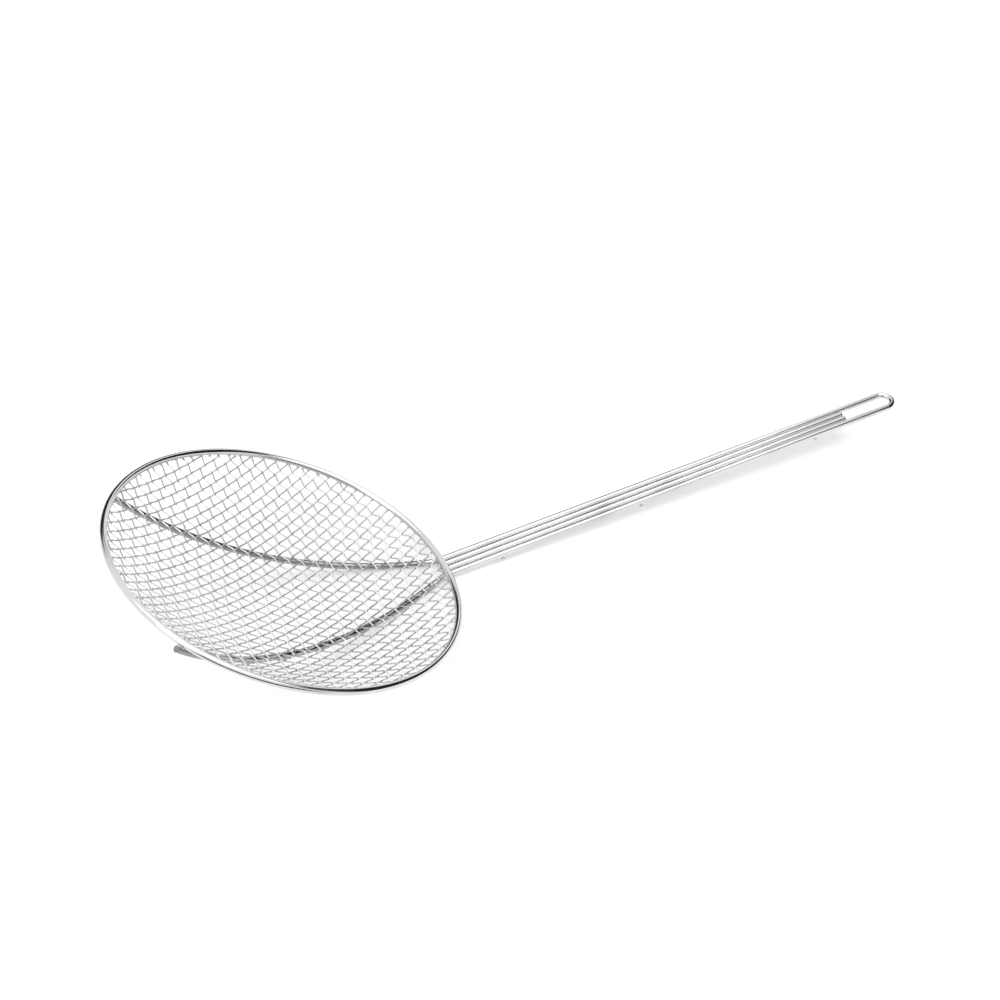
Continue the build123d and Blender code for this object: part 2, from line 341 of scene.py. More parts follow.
    def looped_rod_line(self):
        """The middle line of the long rod, from one support's far end round the loop to the other's."""
        sides = []
        for side in (1, -1):
            corner = self.handle_point(0, side * self.corner_y)
            tangent, turn = self.loop_tangent(side)
            leg_way = (tangent - corner) / np.linalg.norm(tangent - corner)
            support = self.support_line(side, SUPPORT_STEPS)
            bend_end = corner + leg_way * self.sizes.bend_tangent
            bend = arc_round_corner(support[-1], corner, bend_end, BEND_STEPS)
            leg = straight(bend[-1], tangent, LEG_STEPS)
            sides.append(np.vstack((support, bend[1:], leg[1:])))
        loop = []
        for t in np.linspace(turn, -turn, LOOP_STEPS)[1:-1]:
            along = self.loop_centre + self.loop_radius * math.cos(t)
            loop.append(self.handle_point(along, self.loop_radius * math.sin(t)))
        return np.vstack((sides[0], loop, sides[1][::-1]))


def straight(start, end, count):
    """Evenly spaced points from start to end."""
    shares = np.linspace(0.0, 1.0, count)[:, None]
    return np.asarray(start) * (1 - shares) + np.asarray(end) * shares


def arc_round_corner(start, corner, end, count):
    """Points of the arc that leaves start towards the corner and reaches end coming from it."""
    way_in = (corner - start) / np.linalg.norm(corner - start)
    way_out = (end - corner) / np.linalg.norm(end - corner)
    turn = math.acos(min(1.0, way_in @ way_out))
    radius = np.linalg.norm(corner - start) / math.tan(turn / 2)
    inward = way_out - way_in * (way_out @ way_in)
    inward /= np.linalg.norm(inward)
    turns = np.linspace(0.0, turn, count)[:, None]
    return start + way_in * radius * np.sin(turns) + inward * radius * (1 - np.cos(turns))


# Meshes


def section_frames(points, closed):
    """Two directions across a line at each of its points, carried along it without twisting."""
    if closed:
        ways = np.roll(points, -1, axis=0) - np.roll(points, 1, axis=0)
    else:
        ways = np.gradient(points, axis=0)
        ways[0] = points[1] - points[0]
        ways[-1] = points[-1] - points[-2]
    ways /= np.linalg.norm(ways, axis=1)[:, None]
    sideways = np.eye(3)[np.argmin(np.abs(ways[0]))]
    across = []
    for way in ways:
        sideways = sideways - way * (sideways @ way)
        sideways = sideways / np.linalg.norm(sideways)
        across.append(sideways)
    across = np.array(across)
    return across, np.cross(ways, across), ways


def broken_ends(points, ways, radius):
    """A line with rings added at both ends, the row that each ring takes its frame from, and the radii.

    The innermost ring that is added keeps the shading of the broken edge off the wire's side.
    """
    chamfer = radius * CHAMFER_SHARE
    near = [points[0] + ways[0] * chamfer * step for step in (1, 2)]
    far = [points[-1] - ways[-1] * chamfer * step for step in (2, 1)]
    last = len(points) - 1
    rows = np.r_[0, 0, 0, 1:last, last, last, last]
    points = np.vstack((points[0], *near, points[1:-1], *far, points[-1]))
    radii = np.full(len(points), radius)
    radii[0] = radii[-1] = radius - chamfer
    return points, rows, radii


def side_quads(rows, sides, closed):
    """The faces between the rings of a round wire."""
    row = np.arange(rows if closed else rows - 1)[:, None]
    side = np.arange(sides)[None, :]
    next_side = (side + 1) % sides
    here = row * sides
    after = (row + 1) % rows * sides
    return np.stack((here + side, here + next_side, after + next_side, after + side), axis=-1).reshape(-1, 4)


def side_places(low, high, sides):
    """Map places of those faces: the run along the wire and the share of the way round it."""
    low = np.broadcast_to(low[:, None], (len(low), sides))
    high = np.broadcast_to(high[:, None], low.shape)
    left = np.broadcast_to(np.arange(sides) / sides, low.shape)
    right = left + 1 / sides
    corners = ((low, left), (low, right), (high, right), (high, left))
    return np.stack([np.stack(corner, -1) for corner in corners], axis=-2).reshape(-1, 2)


def tube_parts(points, radius, sides, closed=False, run=None):
    """Vertices, faces, map places and end caps of a round wire along a line, its cut ends broken."""
    if run is None:
        run = np.r_[0.0, np.cumsum(np.linalg.norm(np.diff(points, axis=0), axis=1))]
    lap = run[-1] + (np.linalg.norm(points[0] - points[-1]) if closed else 0.0)
    across, up, ways = section_frames(points, closed)
    radii = np.full(len(points), radius)
    if not closed:
        points, rows, radii = broken_ends(points, ways, radius)
        across, up, run = across[rows], up[rows], run[rows]
    turns = np.arange(sides) * (2 * math.pi / sides)
    ring = np.cos(turns)[None, :, None] * across[:, None, :] + np.sin(turns)[None, :, None] * up[:, None, :]
    verts = (points[:, None, :] + ring * radii[:, None, None]).reshape(-1, 3)
    faces = side_quads(len(points), sides, closed)
    if closed:
        return verts, faces, side_places(run, np.r_[run[1:], lap], sides), []
    caps = [np.arange(sides)[::-1], (len(points) - 1) * sides + np.arange(sides)]
    return verts, faces, side_places(run[:-1], run[1:], sides), caps


def mesh_piece(name, tubes, material):
    """One object of round wires, smooth along their sides and flat on their ends."""
    verts, loops, starts, places, smooth = [], [], [], [], []
    base = 0
    loop_at = 0
    for tube_verts, faces, tube_places, caps in tubes:
        verts.append(tube_verts)
        loops.append((faces + base).ravel())
        starts.append(loop_at + np.arange(len(faces)) * 4)
        smooth.append(np.ones(len(faces), bool))
        places.append(tube_places)
        loop_at += len(faces) * 4
        for cap in caps:
            loops.append(cap + base)
            starts.append(np.array([loop_at]))
            smooth.append(np.zeros(1, bool))
            places.append(np.zeros((len(cap), 2)))
            loop_at += len(cap)
        base += len(tube_verts)
    verts = np.vstack(verts)
    mesh = bpy.data.meshes.new(name)
    mesh.vertices.add(len(verts))
    mesh.vertices.foreach_set("co", verts.astype(np.float32).ravel())
    loops = np.concatenate(loops).astype(np.int32)
    mesh.loops.add(len(loops))
    mesh.loops.foreach_set("vertex_index", loops)
    starts = np.concatenate(starts).astype(np.int32)
    mesh.polygons.add(len(starts))
    mesh.polygons.foreach_set("loop_start", starts)
    mesh.update(calc_edges=True)
    mesh.polygons.foreach_set("use_smooth", np.concatenate(smooth))
    layer = mesh.uv_layers.new(name=ALONG_MAP)
    layer.data.foreach_set("uv", np.vstack(places).astype(np.float32).ravel())
    mesh.validate()
    mesh.materials.append(material)
    piece = bpy.data.objects.new(name, mesh)
    bpy.context.collection.objects.link(piece)
    return piece


def bead_parts(centre, normal, long_way, radii, seed, detail=BEAD_DETAIL):
    """A small lump of weld metal: a flattened ball, a little uneven."""
    rings, sides = detail
    rng = np.random.default_rng(seed)
    normal = np.asarray(normal) / np.linalg.norm(normal)
    long_way = np.asarray(long_way) - normal * (np.asarray(long_way) @ normal)
    long_way /= np.linalg.norm(long_way)
    axes = np.stack((long_way, np.cross(normal, long_way), normal))
    waves = rng.uniform(0, 2 * math.pi, 3)
    heights = np.linspace(0.0, math.pi, rings + 1)[1:-1][:, None]
    turns = (np.arange(sides) * (2 * math.pi / sides))[None, :]
    two_waves = np.sin(2 * turns + waves[0])
    three_waves = np.sin(3 * turns + waves[1]) * np.cos(heights + waves[2])
    uneven = 1 + BEAD_UNEVENNESS[0] * two_waves + BEAD_UNEVENNESS[1] * three_waves
    forward = np.sin(heights) * np.cos(turns) * uneven
    sideways = np.sin(heights) * np.sin(turns) * uneven
    ball = np.stack((forward, sideways, np.cos(heights) + 0 * turns), axis=-1).reshape(-1, 3)
    ball = np.vstack((ball, (0, 0, 1), (0, 0, -1))) * np.asarray(radii)
    verts = np.asarray(centre) + ball @ axes
    here = np.arange(rings - 2)[:, None] * sides
    below = here + sides
    side = np.arange(sides)[None, :]
    after = (side + 1) % sides
    quads = np.stack((here + side, below + side, below + after, here + after), -1)
    top, bottom = len(verts) - 2, len(verts) - 1
    last = (rings - 2) * sides
    tips = [np.array((top, k, (k + 1) % sides)) for k in range(sides)]
    tips += [np.array((bottom, last + (k + 1) % sides, last + k)) for k in range(sides)]
    faces = quads.reshape(-1, 4)
    return verts, faces, np.zeros((len(faces) * 4, 2)), tips


def settle(piece, slot, *nodes):
    """The piece rides on the skimmer and stands for its nodes; the slot is not used."""
    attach(piece, "root")
    if nodes:
        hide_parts(*nodes)


# Finishes


def group_socket(tree, name, kind, way, value=None):
    socket = tree.interface.new_socket(name=name, in_out=way, socket_type=kind)
    if value is not None:
        socket.default_value = value


def math_node(nodes, operation):
    node = nodes.new("ShaderNodeMath")
    node.operation = operation
    return node


def range_node(nodes, lowest, highest, interpolation="LINEAR"):
    node = nodes.new("ShaderNodeMapRange")
    node.interpolation_type = interpolation
    node.inputs["From Min"].default_value = lowest
    node.inputs["From Max"].default_value = highest
    return node


def drawn_wire_group():
    """Streaks left by drawing the wire, and cloudy patches in the plating over them."""
    known = bpy.data.node_groups.get("Drawn wire plating")
    if known:
        return known
    tree = bpy.data.node_groups.new("Drawn wire plating", "ShaderNodeTree")
    group_socket(tree, "Streaks per metre", "NodeSocketFloat", "INPUT", 60.0)
    group_socket(tree, "Streaks around", "NodeSocketFloat", "INPUT", 14.0)
    group_socket(tree, "Patches per metre", "NodeSocketFloat", "INPUT", 40.0)
    group_socket(tree, "Smooth roughness", "NodeSocketFloat", "INPUT", 0.1)
    group_socket(tree, "Rough roughness", "NodeSocketFloat", "INPUT", 0.2)
    group_socket(tree, "Bright colour", "NodeSocketColor", "INPUT", (0.8, 0.8, 0.79, 1.0))
    group_socket(tree, "Dull colour", "NodeSocketColor", "INPUT", (0.66, 0.66, 0.65, 1.0))
    group_socket(tree, "Colour", "NodeSocketColor", "OUTPUT")
    group_socket(tree, "Roughness", "NodeSocketFloat", "OUTPUT")
    group_socket(tree, "Height", "NodeSocketFloat", "OUTPUT")
    nodes, links = tree.nodes, tree.links
    inputs = nodes.new("NodeGroupInput")
    outputs = nodes.new("NodeGroupOutput")
    place = nodes.new("ShaderNodeUVMap")
    place.uv_map = ALONG_MAP
    scale = nodes.new("ShaderNodeCombineXYZ")
    stretch = nodes.new("ShaderNodeVectorMath")
    stretch.operation = "MULTIPLY"
    streaks = nodes.new("ShaderNodeTexNoise")
    streaks.inputs["Scale"].default_value = 1.0
    streaks.inputs["Detail"].default_value = STREAK_DETAIL
    where = nodes.new("ShaderNodeTexCoord")
    patches = nodes.new("ShaderNodeTexNoise")
    patches.inputs["Detail"].default_value = PATCH_DETAIL
    blend = math_node(nodes, "MULTIPLY_ADD")
    blend.inputs[1].default_value = STREAK_WEIGHT
    rough = range_node(nodes, *WORN_RANGE)
    dull = range_node(nodes, *DULL_RANGE)
    mix = nodes.new("ShaderNodeMix")
    mix.data_type = "RGBA"
    links.new(inputs.outputs["Streaks per metre"], scale.inputs["X"])
    links.new(inputs.outputs["Streaks around"], scale.inputs["Y"])
    links.new(place.outputs["UV"], stretch.inputs[0])
    links.new(scale.outputs["Vector"], stretch.inputs[1])
    links.new(stretch.outputs["Vector"], streaks.inputs["Vector"])
    links.new(where.outputs["Object"], patches.inputs["Vector"])
    links.new(inputs.outputs["Patches per metre"], patches.inputs["Scale"])
    links.new(streaks.outputs["Fac"], blend.inputs[0])
    links.new(patches.outputs["Fac"], blend.inputs[2])
    links.new(blend.outputs["Value"], rough.inputs["Value"])
    links.new(inputs.outputs["Smooth roughness"], rough.inputs["To Min"])
    links.new(inputs.outputs["Rough roughness"], rough.inputs["To Max"])
    links.new(blend.outputs["Value"], dull.inputs["Value"])
    links.new(dull.outputs["Result"], mix.inputs["Factor"])
    links.new(inputs.outputs["Bright colour"], mix.inputs["A"])
    links.new(inputs.outputs["Dull colour"], mix.inputs["B"])
    links.new(mix.outputs["Result"], outputs.inputs["Colour"])
    links.new(rough.outputs["Result"], outputs.inputs["Roughness"])
    links.new(streaks.outputs["Fac"], outputs.inputs["Height"])
    return tree


def crossing_shade_group():
    """Painted shade where the wires of the mesh cross, strongest at each crossing and uneven from one to the
    next.
    """
    known = bpy.data.node_groups.get("Painted shade at crossings")
    if known:
        return known
    tree = bpy.data.node_groups.new("Painted shade at crossings", "ShaderNodeTree")
    group_socket(tree, "Turns per metre", "NodeSocketFloat", "INPUT", 1000.0)
    group_socket(tree, "Strength", "NodeSocketFloat", "INPUT", 0.6)
    group_socket(tree, "Mark", "NodeSocketFloat", "OUTPUT")
    nodes, links = tree.nodes, tree.links
    inputs = nodes.new("NodeGroupInput")
    outputs = nodes.new("NodeGroupOutput")
    place = nodes.new("ShaderNodeUVMap")
    place.uv_map = ALONG_MAP
    split = nodes.new("ShaderNodeSeparateXYZ")
    turn = math_node(nodes, "MULTIPLY")
    wave = math_node(nodes, "COSINE")
    where = nodes.new("ShaderNodeTexCoord")
    uneven = nodes.new("ShaderNodeTexNoise")
    uneven.inputs["Scale"].default_value = MARK_PATCHES_PER_METRE
    near = range_node(nodes, *MARK_RANGE, "SMOOTHSTEP")
    some = math_node(nodes, "MULTIPLY_ADD")
    some.inputs[1].default_value = MARK_SPREAD
    some.inputs[2].default_value = MARK_LEAST
    mark = math_node(nodes, "MULTIPLY")
    mark.use_clamp = True
    links.new(place.outputs["UV"], split.inputs["Vector"])
    links.new(split.outputs["X"], turn.inputs[0])
    links.new(inputs.outputs["Turns per metre"], turn.inputs[1])
    links.new(turn.outputs["Value"], wave.inputs[0])
    links.new(wave.outputs["Value"], near.inputs["Value"])
    links.new(inputs.outputs["Strength"], near.inputs["To Max"])
    links.new(where.outputs["Object"], uneven.inputs["Vector"])
    links.new(uneven.outputs["Fac"], some.inputs[0])
    links.new(near.outputs["Result"], mark.inputs[0])
    links.new(some.outputs["Value"], mark.inputs[1])
    links.new(mark.outputs["Value"], outputs.inputs["Mark"])
    return tree


def lay_colour_over(material, mask, colour_over):
    """Mix a colour over the material's own where the mask is one."""
    nodes, links = material.node_tree.nodes, material.node_tree.links
    base = nodes["Principled BSDF"].inputs["Base Color"]
    mix = nodes.new("ShaderNodeMix")
    mix.data_type = "RGBA"
    mix.inputs["B"].default_value = colour_over
    links.new(mask, mix.inputs["Factor"])
    links.new(base.links[0].from_socket, mix.inputs["A"])
    links.new(mix.outputs["Result"], base)


def paint_crossing_shade(material):
    """Paint shade over the plating where the mesh wires cross."""
    scene = bpy.context.scene
    marks = material.node_tree.nodes.new("ShaderNodeGroup")
    marks.node_tree = crossing_shade_group()
    marks.inputs["Turns per metre"].default_value = 2 * math.pi / scene.skimmer_sizes.mesh_pitch
    marks.inputs["Strength"].default_value = scene.skimmer_finish.crossing_shade_strength
    lay_colour_over(material, marks.outputs["Mark"], scene.skimmer_finish.crossing_shade_colour)


def paint_support_shade(material):
    """Paint shade over the rods where they lie under the mesh, short of the hoop's near side."""
    layout = Layout(bpy.context.scene.skimmer_sizes)
    near_side = layout.placed(layout.handle_point(0.0, 0.0))[0]
    nodes, links = material.node_tree.nodes, material.node_tree.links
    where = nodes.new("ShaderNodeTexCoord")
    split = nodes.new("ShaderNodeSeparateXYZ")
    under_mesh = range_node(nodes, near_side - SUPPORT_FADE, near_side, "SMOOTHSTEP")
    under_mesh.inputs["To Min"].default_value = 1.0
    under_mesh.inputs["To Max"].default_value = 0.0
    links.new(where.outputs["Object"], split.inputs["Vector"])
    links.new(split.outputs["X"], under_mesh.inputs["Value"])
    lay_colour_over(material, under_mesh.outputs["Result"], bpy.context.scene.skimmer_finish.support_shade_colour)


def plated_finish(name, roughness, grain, add=None):
    """Bright plating on a drawn wire, with any painted shade that a piece's own finish lays over it."""
    known = bpy.data.materials.get(name)
    if known:
        return known
    finish = bpy.context.scene.skimmer_finish
    streaks_per_metre, streaks_around, patches_per_metre, relief_strength = grain
    material = bpy.data.materials.new(name)
    material.use_nodes = True
    nodes, links = material.node_tree.nodes, material.node_tree.links
    shader = nodes["Principled BSDF"]
    shader.inputs["Metallic"].default_value = 1.0
    wire = nodes.new("ShaderNodeGroup")
    wire.node_tree = drawn_wire_group()
    wire.inputs["Streaks per metre"].default_value = streaks_per_metre
    wire.inputs["Streaks around"].default_value = streaks_around
    wire.inputs["Patches per metre"].default_value = patches_per_metre
    wire.inputs["Smooth roughness"].default_value = roughness
    wire.inputs["Rough roughness"].default_value = roughness * ROUGH_TIMES
    wire.inputs["Bright colour"].default_value = finish.plating
    wire.inputs["Dull colour"].default_value = finish.worn_plating
    relief = nodes.new("ShaderNodeBump")
    relief.inputs["Strength"].default_value = relief_strength
    relief.inputs["Distance"].default_value = STREAK_DEPTH
    links.new(wire.outputs["Colour"], shader.inputs["Base Color"])
    links.new(wire.outputs["Roughness"], shader.inputs["Roughness"])
    links.new(wire.outputs["Height"], relief.inputs["Height"])
    links.new(relief.outputs["Normal"], shader.inputs["Normal"])
    if add:
        add(material)
    return material


def hoop_finish():
    return plated_finish("Hoop plating", bpy.context.scene.skimmer_finish.rod_roughness, HOOP_GRAIN)


def rod_finish():
    roughness = bpy.context.scene.skimmer_finish.rod_roughness
    return plated_finish("Rod plating with painted support shade", roughness, ROD_GRAIN, paint_support_shade)


def mesh_finish():
    roughness = bpy.context.scene.skimmer_finish.mesh_roughness
    return plated_finish("Mesh plating with painted crossing shade", roughness, MESH_GRAIN, paint_crossing_shade)


def weld_finish():
    return plated_finish("Weld plating", bpy.context.scene.skimmer_finish.weld_roughness, WELD_GRAIN)


# Pieces


class SKIMMER_OT_hoop(bpy.types.Operator):
    """Make the wire hoop"""

    bl_idname = "skimmer.hoop"
    bl_label = "Hoop"
    bl_options = {"REGISTER", "UNDO"}

    def execute(self, context):
        layout = Layout(context.scene.skimmer_sizes)
        turns = np.arange(HOOP_STEPS) * (2 * math.pi / HOOP_STEPS)
        line = np.column_stack((np.cos(turns), np.sin(turns), np.zeros(HOOP_STEPS))) * layout.hoop_radius
        wire = tube_parts(layout.placed(line), layout.sizes.hoop_wire / 2, HOOP_SIDES, closed=True)
        settle(mesh_piece("hoop_wire", [wire], hoop_finish()), "hoop_plating", "hoop")
        return {"FINISHED"}


class SKIMMER_OT_handle(bpy.types.Operator):
    """Make the looped rod with its supports, the inner rods and the cross wires"""

    bl_idname = "skimmer.handle"
    bl_label = "Handle and supports"
    bl_options = {"REGISTER", "UNDO"}

    def execute(self, context):
        layout = Layout(context.scene.skimmer_sizes)
        sizes = layout.sizes
        long_rod = tube_parts(layout.placed(layout.looped_rod_line()), sizes.rod / 2, ROD_SIDES)
        nodes = ("outer_handle_rod_left", "outer_handle_rod_right", "hanging_loop_rod")
        settle(mesh_piece("looped_rod", [long_rod], rod_finish()), "rod_plating", *nodes)
        for name, side in (("left", 1), ("right", -1)):
            ends = []
            for along in (0.0, layout.inner_rod_end):
                ends.append(layout.handle_point(along, side * INNER_ROD_PITCHES * layout.rod_pitch(along)))
            rod = tube_parts(layout.placed(straight(*ends, INNER_ROD_STEPS)), sizes.rod / 2, ROD_SIDES)
            piece = mesh_piece(f"inner_rod_{name}", [rod], rod_finish())
            settle(piece, "rod_plating", f"inner_handle_rod_{name}")
        for name, share in zip(CROSS_WIRE_NAMES, CROSS_WIRE_SHARES):
            along = share * sizes.handle_length
            reach = OUTER_ROD_PITCHES * layout.rod_pitch(along) + sizes.rod / 2
            ends = [layout.handle_point(along, side * reach, -layout.cross_wire_drop) for side in (1, -1)]
            line = layout.placed(straight(*ends, CROSS_WIRE_STEPS))
            wire = tube_parts(line, sizes.cross_wire / 2, CROSS_WIRE_SIDES)
            settle(mesh_piece(f"tie_wire_{name}", [wire], rod_finish()), "rod_plating", f"cross_wire_{name}")
        return {"FINISHED"}


class SKIMMER_OT_mesh(bpy.types.Operator):
    """Weave the mesh wires"""

    bl_idname = "skimmer.mesh"
    bl_label = "Woven mesh"
    bl_options = {"REGISTER", "UNDO"}

    def execute(self, context):
        layout = Layout(context.scene.skimmer_sizes)
        for family, parity, turn in layout.mesh_families():
            turn_about = np.array(Matrix.Rotation(turn, 3, "Z"))
            for number in range(layout.mesh_wire_count() + 1):
                wires = []
                for signed in (number, -number) if number else (0,):
                    line, run = layout.mesh_line(signed, parity)
                    line = layout.placed(line @ turn_about.T)
                    wires.append(tube_parts(line, layout.sizes.mesh_wire / 2, MESH_SIDES, run=run))
                piece = mesh_piece(f"{family}_pair_{number:02d}", wires, mesh_finish())
                settle(piece, "mesh_plating", f"{family}_wires_{number:02d}")
        return {"FINISHED"}


class SKIMMER_OT_welds(bpy.types.Operator):
    """Add the weld metal where wires and rods meet"""

    bl_idname = "skimmer.welds"
    bl_label = "Welds"
    bl_options = {"REGISTER", "UNDO"}

    def execute(self, context):
        layout = Layout(context.scene.skimmer_sizes)
        settle(mesh_piece("hoop_welds", hoop_welds(layout), weld_finish()), "hoop_plating")
        settle(mesh_piece("handle_welds", handle_welds(layout), weld_finish()), "rod_plating")
        settle(mesh_piece("mesh_end_welds", mesh_end_welds(layout), weld_finish()), "mesh_plating")
        settle(mesh_piece("support_spot_welds", support_spot_welds(layout), weld_finish()), "mesh_plating")
        return {"FINISHED"}


def hoop_welds(layout):
    """Weld metal between the hoop and the rods that pass under it, at its two ends."""
    s = layout.sizes
    places = []
    for side in (1, -1):
        far = s.support_far_angle
        places.append(np.array((-math.cos(far), side * math.sin(far), 0.0)) * layout.hoop_radius)
        for pitches in (OUTER_ROD_PITCHES, INNER_ROD_PITCHES):
            across = side * pitches * s.rod_pitch_at_hoop
            places.append(np.array((math.sqrt(layout.hoop_radius**2 - across**2), across, 0.0)))
    beads = []
    for place in places:
        outward = place - layout.centre
        outward /= np.linalg.norm(outward)
        middle = layout.placed(place + outward * (s.hoop_wire + s.weld_gap) / 2)
        along_hoop = layout.turned((-place[1], place[0], 0.0))
        radii = [s.rod * share for share in HOOP_WELD_SHARES]
        seed = HOOP_WELD_SEED + len(beads)
        beads.append(bead_parts(middle, layout.turned(outward), along_hoop, radii, seed))
    return beads


def handle_welds(layout):
    """Weld metal where each cross wire meets the four rods of the handle."""
    s = layout.sizes
    normal = layout.turned(layout.handle_normal)
    way = layout.turned(layout.handle_axis)
    long_share, wide_share, high_share = HANDLE_WELD_SHARES
    radii = (s.cross_wire * long_share, s.rod * wide_share, s.cross_wire * high_share)
    beads = []
    for share in CROSS_WIRE_SHARES:
        along = share * s.handle_length
        for pitches in ROD_PLACES:
            across = pitches * layout.rod_pitch(along)
            middle = layout.placed(layout.handle_point(along, across, -(s.rod + s.weld_gap) / 2))
            seed = HANDLE_WELD_SEED + len(beads)
            beads.append(bead_parts(middle, normal, way, radii, seed))
    return beads


def support_spot_welds(layout):
    """Spot welds where the mesh wires dip onto the supports."""
    s = layout.sizes
    supports = [layout.support_line(side, SUPPORT_SEARCH_STEPS) for side in (1, -1)]
    touching = (s.rod + s.mesh_wire) / 2 + SPOT_WELD_GAPS * s.weld_gap
    radii = [s.mesh_wire * share for share in SPOT_WELD_SHARES]
    beads = []
    for line in all_mesh_lines(layout):
        for support in supports:
            apart = np.linalg.norm(line[:, None, :] - support[None, :, :], axis=2)
            at, near = np.unravel_index(np.argmin(apart), apart.shape)
            if apart[at, near] > touching or at in (0, len(line) - 1):
                continue
            outward = support[near] - line[at]
            middle = layout.placed(line[at] + outward * (s.mesh_wire / 2) / apart[at, near])
            way = layout.turned(line[at + 1] - line[at - 1])
            seed = SPOT_WELD_SEED + len(beads)
            beads.append(bead_parts(middle, layout.turned(outward), way, radii, seed, SMALL_BEAD_DETAIL))
    return beads


def all_mesh_lines(layout):
    """The middle lines of all the mesh wires."""
    for _, parity, turn in layout.mesh_families():
        turn_about = np.array(Matrix.Rotation(turn, 3, "Z"))
        for number in range(-layout.mesh_wire_count(), layout.mesh_wire_count() + 1):
            yield layout.mesh_line(number, parity)[0] @ turn_about.T


def mesh_end_welds(layout):
    """Weld metal where the mesh wires end against the inside of the hoop."""
    radii = [layout.sizes.mesh_wire * share for share in MESH_END_WELD_SHARES]
    beads = []
    for line in all_mesh_lines(layout):
        for end, before in ((line[0], line[1]), (line[-1], line[-2])):
            rim = np.array((end[0], end[1], 0.0))
            to_hoop = layout.turned(rim * (layout.hoop_radius / np.linalg.norm(rim)) - end)
            way = layout.turned(end - before)
            seed = MESH_END_WELD_SEED + len(beads)
            beads.append(bead_parts(layout.placed(end), to_hoop, way, radii, seed, SMALL_BEAD_DETAIL))
    return beads


class SKIMMER_OT_stage(bpy.types.Operator):
    """Set the floor, the room, the soft lamps, the dark cards and the camera"""

    bl_idname = "skimmer.stage"
    bl_label = "Stage"
    bl_options = {"REGISTER", "UNDO"}

    def execute(self, context):
        stage = context.scene.skimmer_stage
        add_floor(stage)
        add_room(stage)
        add_lamps(stage)
        add_dark_cards()
        add_camera()
        context.scene.view_settings.view_transform = "Standard"
        return {"FINISHED"}


def seen_directly(nodes, links):
    """One where the camera, a mirror or glass looks, and nought for the light that falls on things."""
    path = nodes.new("ShaderNodeLightPath")
    first = math_node(nodes, "MAXIMUM")
    second = math_node(nodes, "MAXIMUM")
    links.new(path.outputs["Is Camera Ray"], first.inputs[0])
    links.new(path.outputs["Is Glossy Ray"], first.inputs[1])
    links.new(first.outputs["Value"], second.inputs[0])
    links.new(path.outputs["Is Transmission Ray"], second.inputs[1])
    return second.outputs["Value"]


def matt_material(name, base):
    """A material without any gloss."""
    material = bpy.data.materials.new(name)
    material.use_nodes = True
    shader = material.node_tree.nodes["Principled BSDF"]
    shader.inputs["Base Color"].default_value = base
    shader.inputs["Roughness"].default_value = 1.0
    shader.inputs["Specular IOR Level"].default_value = 0.0
    return material


def add_floor(stage):
    """A white floor that keeps the object's shadow."""
    corners = [(x * FLOOR_REACH, y * FLOOR_REACH, 0.0) for x, y in ((-1, -1), (1, -1), (1, 1), (-1, 1))]
    mesh = bpy.data.meshes.new("floor")
    mesh.from_pydata(corners, [], [(0, 1, 2, 3)])
    material = matt_material("White floor", stage.floor)
    nodes, links = material.node_tree.nodes, material.node_tree.links
    shader = nodes["Principled BSDF"]
    lift = math_node(nodes, "MULTIPLY")
    lift.inputs[1].default_value = stage.floor_lift
    links.new(seen_directly(nodes, links), lift.inputs[0])
    shader.inputs["Emission Color"].default_value = (1.0, 1.0, 1.0, 1.0)
    links.new(lift.outputs["Value"], shader.inputs["Emission Strength"])
    mesh.materials.append(material)
    floor = bpy.data.objects.new("floor", mesh)
    bpy.context.collection.objects.link(floor)


def add_room(stage):
    """A pale room: white where it is seen or mirrored, softer where it lights the object."""
    world = bpy.context.scene.world or bpy.data.worlds.new("Room")
    bpy.context.scene.world = world
    world.use_nodes = True
    nodes, links = world.node_tree.nodes, world.node_tree.links
    background = nodes["Background"]
    background.inputs["Color"].default_value = (1.0, 1.0, 1.0, 1.0)
    strength = nodes.new("ShaderNodeMapRange")
    strength.inputs["To Min"].default_value = stage.room_strength
    strength.inputs["To Max"].default_value = 1.0
    links.new(seen_directly(nodes, links), strength.inputs["Value"])
    links.new(strength.outputs["Result"], background.inputs["Strength"])


def add_lamps(stage):
    """Soft lamps that light the object at a plain level."""
    for name, place, size, share in LAMPS:
        light = bpy.data.lights.new(name, "AREA")
        light.shape = "RECTANGLE"
        light.size, light.size_y = size
        light.energy = stage.lamp_strength * share * math.pi * size[0] * size[1]
        lamp = bpy.data.objects.new(name, light)
        lamp.location = place
        lamp.rotation_euler = (-Vector(place)).to_track_quat("-Z", "Y").to_euler()
        bpy.context.collection.objects.link(lamp)


def card_mesh(name, middle, spread, heights):
    """A part of a ball round the object, as wide and as high as a card covers."""
    verts = []
    for row in range(CARD_ROWS + 1):
        rise = math.radians(heights[0] + (heights[1] - heights[0]) * row / CARD_ROWS)
        flat = math.cos(rise) * CARD_DISTANCE
        for column in range(CARD_COLUMNS + 1):
            turn = math.radians(middle + spread * (column / CARD_COLUMNS - 0.5))
            verts.append((flat * math.cos(turn), flat * math.sin(turn), math.sin(rise) * CARD_DISTANCE))
    faces = []
    for row in range(CARD_ROWS):
        for column in range(CARD_COLUMNS):
            first = row * (CARD_COLUMNS + 1) + column
            above = first + CARD_COLUMNS + 1
            faces.append((first, first + 1, above + 1, above))
    mesh = bpy.data.meshes.new(name)
    mesh.from_pydata(verts, [], faces)
    return mesh


def add_dark_cards():
    """Dark cards out of the camera's sight, which only the metal mirrors."""
    material = matt_material("Dark card", CARD_COLOUR)
    for name, middle, spread, heights in DARK_CARDS:
        mesh = card_mesh(name, middle, spread, heights)
        mesh.materials.append(material)
        card = bpy.data.objects.new(name, mesh)
        card.visible_camera = False
        card.visible_diffuse = False
        card.visible_shadow = False
        card.visible_transmission = False
        bpy.context.collection.objects.link(card)


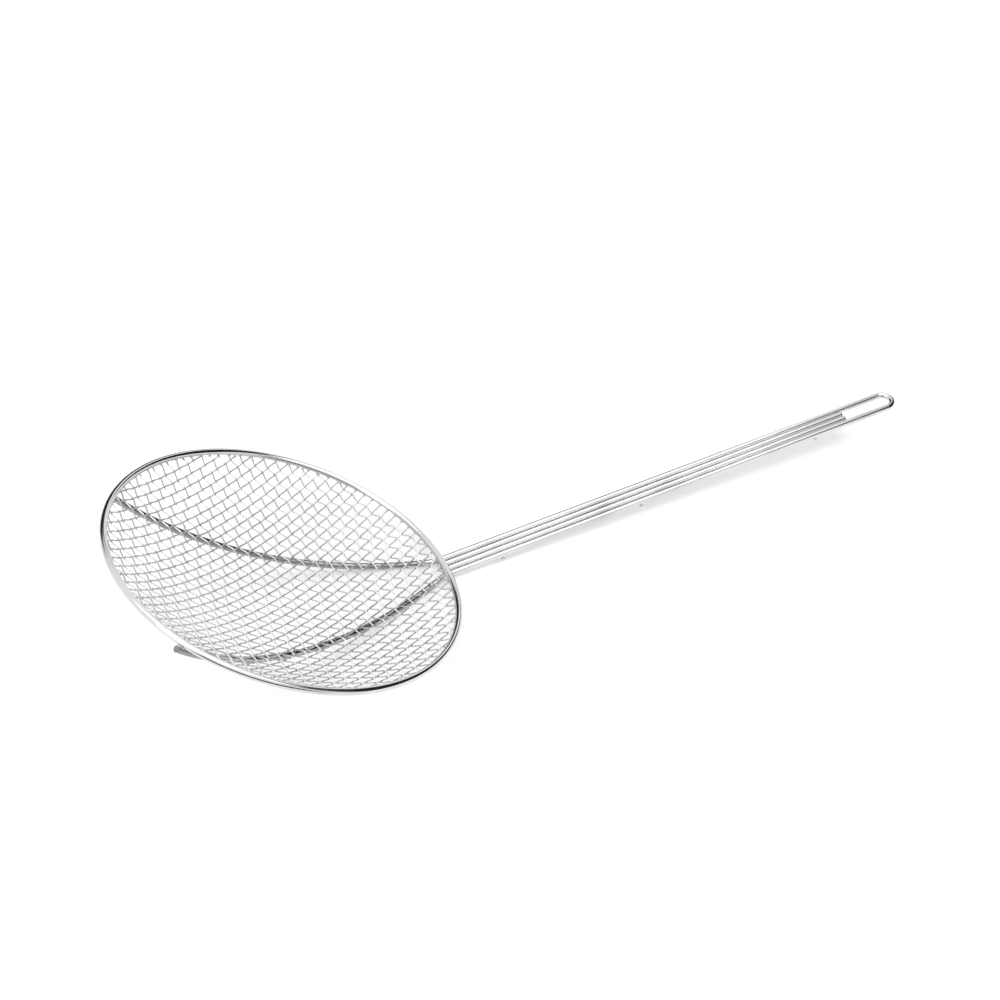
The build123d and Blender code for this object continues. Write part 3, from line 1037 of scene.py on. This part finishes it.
def add_camera():
    """The camera of the photograph."""
    data = bpy.data.cameras.new("photo_camera")
    data.sensor_fit = "HORIZONTAL"
    data.sensor_width = CAMERA_SENSOR
    data.lens = CAMERA_LENS
    data.clip_start = NEAREST_SEEN
    camera = bpy.data.objects.new("photo_camera", data)
    back = -Vector(CAMERA_VIEW).normalized()
    right = Vector(CAMERA_UP).cross(back).normalized()
    up = back.cross(right)
    turn = Matrix((right, up, back)).transposed().to_4x4()
    camera.matrix_world = Matrix.Translation(Vector(CAMERA_PLACE)) @ turn
    bpy.context.collection.objects.link(camera)
    bpy.context.scene.camera = camera


class SKIMMER_PT_panel(bpy.types.Panel):
    """Lists what the skimmer is made of"""

    bl_idname = "SKIMMER_PT_panel"
    bl_label = "Wire skimmer"
    bl_space_type = "VIEW_3D"
    bl_region_type = "UI"
    bl_category = "Skimmer"

    def draw(self, context):
        column = self.layout.column()
        for operator in OPERATORS:
            column.operator(operator.bl_idname)
        scene = context.scene
        for group in (scene.skimmer_sizes, scene.skimmer_finish, scene.skimmer_stage):
            box = self.layout.box()
            for name in group.__annotations__:
                box.prop(group, name)


GROUPS = (SkimmerSizes, SkimmerFinish, SkimmerStage)
OPERATORS = (SKIMMER_OT_hoop, SKIMMER_OT_handle, SKIMMER_OT_mesh, SKIMMER_OT_welds, SKIMMER_OT_stage)


def register():
    for kind in GROUPS + OPERATORS + (SKIMMER_PT_panel,):
        bpy.utils.register_class(kind)
    bpy.types.Scene.skimmer_sizes = bpy.props.PointerProperty(type=SkimmerSizes)
    bpy.types.Scene.skimmer_finish = bpy.props.PointerProperty(type=SkimmerFinish)
    bpy.types.Scene.skimmer_stage = bpy.props.PointerProperty(type=SkimmerStage)


def unregister():
    del bpy.types.Scene.skimmer_stage
    del bpy.types.Scene.skimmer_finish
    del bpy.types.Scene.skimmer_sizes
    for kind in reversed(GROUPS + OPERATORS + (SKIMMER_PT_panel,)):
        bpy.utils.unregister_class(kind)


def main():
    register()
    bpy.ops.skimmer.hoop()
    bpy.ops.skimmer.handle()
    bpy.ops.skimmer.mesh()
    bpy.ops.skimmer.welds()
    bpy.ops.skimmer.stage()


if __name__ == "__main__":
    main()
